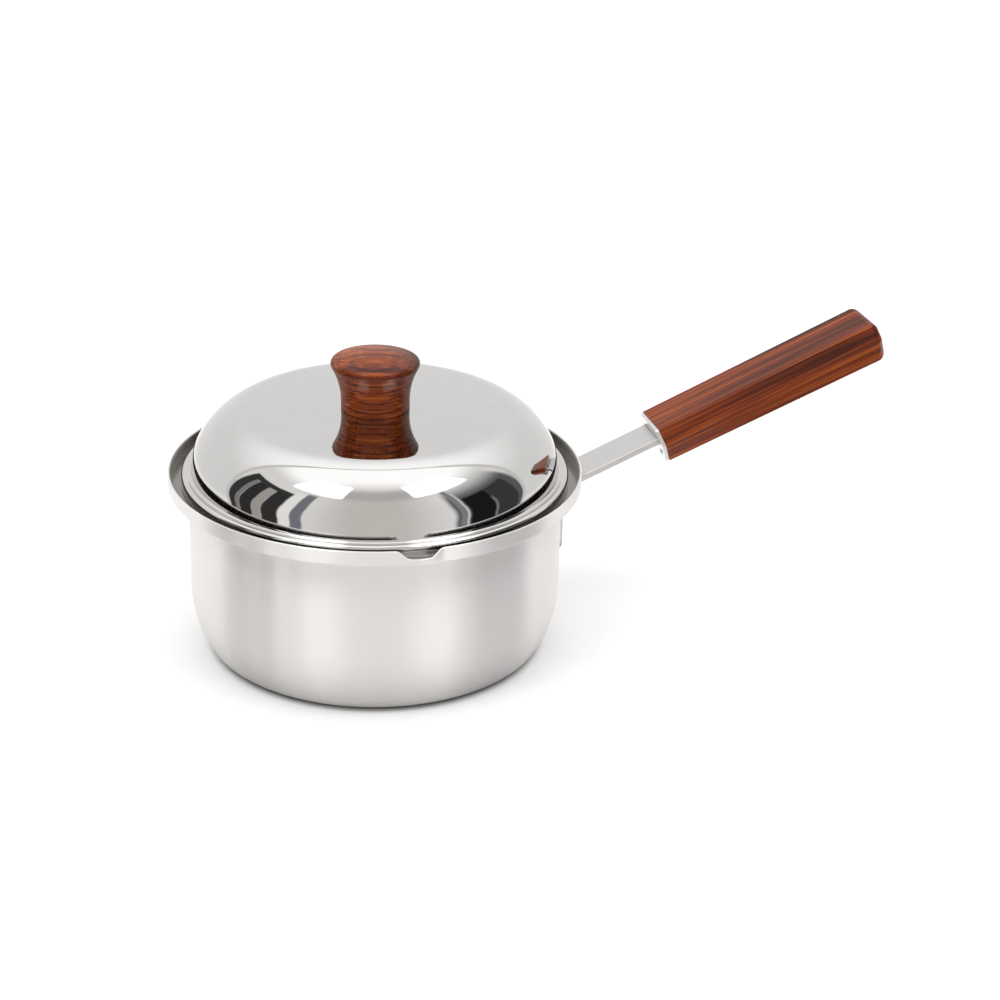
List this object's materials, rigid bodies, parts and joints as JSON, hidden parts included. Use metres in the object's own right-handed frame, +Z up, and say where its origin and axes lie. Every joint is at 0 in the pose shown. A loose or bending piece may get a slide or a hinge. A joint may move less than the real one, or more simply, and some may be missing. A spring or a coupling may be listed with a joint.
{
  "type": "milk pan",
  "caption": "Small round stainless milk pan with pouring notches in its rim band, a domed lift-off lid with a turned wooden knob, and a faceted wooden grip on a flat steel bar.",
  "frame": {"origin": "centre of the pan's flat base, on the surface that it stands on", "axes": "+Z up along the pan's axis, +X towards the handle, the pouring notches on +Y and -Y"},
  "size_m": [0.2869, 0.1636, 0.1186],
  "materials": {
    "satin_steel": "fine satin stainless steel",
    "polished_steel": "mirror-polished stainless steel",
    "zinc_steel": "plain bright steel",
    "insert_brass": "turned brass",
    "red_brown_wood": "oiled and polished hardwood"
  },
  "bodies": {
    "pan": {"pan_body": "satin_steel", "handle_bar": "satin_steel", "handle_grip": "red_brown_wood", "grip_plate": "polished_steel", "grip_plate_pins": "zinc_steel", "grip_rod": "zinc_steel", "grip_washer": "zinc_steel", "grip_nut": "zinc_steel", "grip_plug": "red_brown_wood"},
    "lid": {"lid_shell": "polished_steel", "lid_knob": "red_brown_wood", "knob_insert": "insert_brass", "knob_flat_washer": "zinc_steel", "knob_lock_washer": "zinc_steel", "knob_screw": "zinc_steel"}
  },
  "joints": [
    {"name": "lid_lift", "type": "slide", "parent": "pan", "child": "lid", "axis": [0, 0, 1], "range_m": [0, 0.1]}
  ]
}
